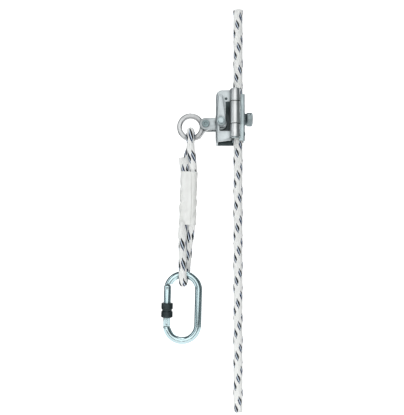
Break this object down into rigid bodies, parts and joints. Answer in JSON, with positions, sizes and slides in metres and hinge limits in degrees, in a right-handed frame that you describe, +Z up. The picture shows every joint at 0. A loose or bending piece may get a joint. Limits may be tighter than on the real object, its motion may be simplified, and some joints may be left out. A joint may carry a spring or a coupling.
{
  "type": "rope grab ascender",
  "caption": "Hinged rope grab with a spring-loaded cam lever on a braided rope, carrying a short spliced lanyard and an oval screw-gate connector.",
  "frame": {"origin": "centre of the main rope's upper end face, where the rope is held", "axes": "+Z up along the main rope, +X towards the lock screw, the hinge and the side lever face -Y"},
  "size_m": [0.139, 0.055, 0.6],
  "materials": {
    "rope_white": "braided polyamide, white with dark tracer yarns",
    "plate_steel": "zinc-plated pressed steel",
    "fastener_steel": "zinc-plated",
    "cast_steel": "forged and tumbled, plated",
    "knob_steel": "knurled",
    "spring_steel": "drawn wire",
    "bronze": "sintered",
    "connector_steel": "bright zinc plate with a cool tint",
    "dark_sleeve": "dark oxide, knurled",
    "seal_rubber": "moulded",
    "clear_sleeve": "translucent heat-shrunk plastic"
  },
  "bodies": {
    "rope": {"main_rope": "rope_white"},
    "housing": {"housing": "plate_steel", "hinge_pin": "fastener_steel", "cam_bolt": "fastener_steel", "bolt_nut": "fastener_steel", "nut_washer": "fastener_steel", "front_spacer": "fastener_steel", "back_spacer": "fastener_steel", "cam_spring": "spring_steel", "lock_lug": "plate_steel", "head_washer": "fastener_steel", "spring_washer": "fastener_steel"},
    "side_lever": {"side_lever": "plate_steel"},
    "door": {"door": "plate_steel", "door_rivet": "fastener_steel", "screw_bush": "fastener_steel"},
    "screw_carrier": {"screw_washer": "knob_steel"},
    "lock_screw": {"lock_knob": "knob_steel", "lock_screw": "fastener_steel"},
    "cam_lever": {"cam": "cast_steel", "front_cheek": "plate_steel", "back_cheek": "plate_steel", "cam_bush": "bronze", "eye_ring": "cast_steel", "eye_rivet": "fastener_steel"},
    "lanyard": {"upper_loop": "rope_white", "lower_loop": "rope_white", "splice_left": "rope_white", "splice_right": "rope_white", "upper_tail": "rope_white", "lower_tail": "rope_white", "lanyard_sleeve": "clear_sleeve"},
    "connector": {"connector_body": "connector_steel", "gate_pin": "fastener_steel"},
    "gate": {"gate": "connector_steel", "gate_spring": "spring_steel", "gate_plunger": "bronze", "latch_pin": "fastener_steel"},
    "sleeve_ring": {"sleeve_ring": "seal_rubber"},
    "locking_sleeve": {"locking_sleeve": "dark_sleeve"}
  },
  "joints": [
    {"name": "grab_slide", "type": "slide", "parent": "rope", "child": "housing", "axis": [0, 0, 1], "range_m": [0, 0.11]},
    {"name": "side_lever_swing", "type": "hinge", "parent": "housing", "child": "side_lever", "pos_m": [-0.026, -0.019, -0.1696], "axis": [0, 1, 0], "range_deg": [0, 10]},
    {"name": "door_hinge", "type": "hinge", "parent": "housing", "child": "door", "pos_m": [-0.0057, -0.018, -0.158], "axis": [0, 0, -1], "range_deg": [0, 100]},
    {"name": "lock_screw_travel", "type": "slide", "parent": "door", "child": "screw_carrier", "axis": [1, 0, 0], "range_m": [0, 0.004]},
    {"name": "lock_screw_turn", "type": "hinge", "parent": "screw_carrier", "child": "lock_screw", "pos_m": [0, 0.019, -0.1583], "axis": [1, 0, 0], "range_deg": [0, 1153]},
    {"name": "cam_lever_swing", "type": "hinge", "parent": "housing", "child": "cam_lever", "pos_m": [-0.026, 0, -0.1696], "axis": [0, 1, 0], "range_deg": [0, 30], "stiffness_Nm_per_rad": 0.05, "springref_deg": -28.65},
    {"name": "lanyard_swing", "type": "hinge", "parent": "cam_lever", "child": "lanyard", "pos_m": [-0.0708, 0, -0.17475], "axis": [0, 1, 0], "range_deg": [-3, 60]},
    {"name": "connector_swing", "type": "hinge", "parent": "lanyard", "child": "connector", "pos_m": [-0.0824, 0, -0.4185], "axis": [0, 1, 0], "range_deg": [-25, 30]},
    {"name": "gate_swing", "type": "hinge", "parent": "connector", "child": "gate", "pos_m": [-0.10563, 0, -0.41549], "axis": [0, -1, 0], "range_deg": [0, 28], "stiffness_Nm_per_rad": 0.06, "springref_deg": -34.38},
    {"name": "locking_sleeve_travel", "type": "slide", "parent": "gate", "child": "sleeve_ring", "axis": [-0.0262, 0, -0.9997], "range_m": [0, 0.014]},
    {"name": "locking_sleeve_turn", "type": "hinge", "parent": "sleeve_ring", "child": "locking_sleeve", "pos_m": [-0.10649, 0, -0.44848], "axis": [-0.0262, 0, -0.9997], "range_deg": [0, 1261]}
  ],
  "couplings": [
    {"joint": "lock_screw_turn", "follows": "lock_screw_travel", "rad_per_m": 5026.5},
    {"joint": "locking_sleeve_turn", "follows": "locking_sleeve_travel", "rad_per_m": 1570.8}
  ]
}
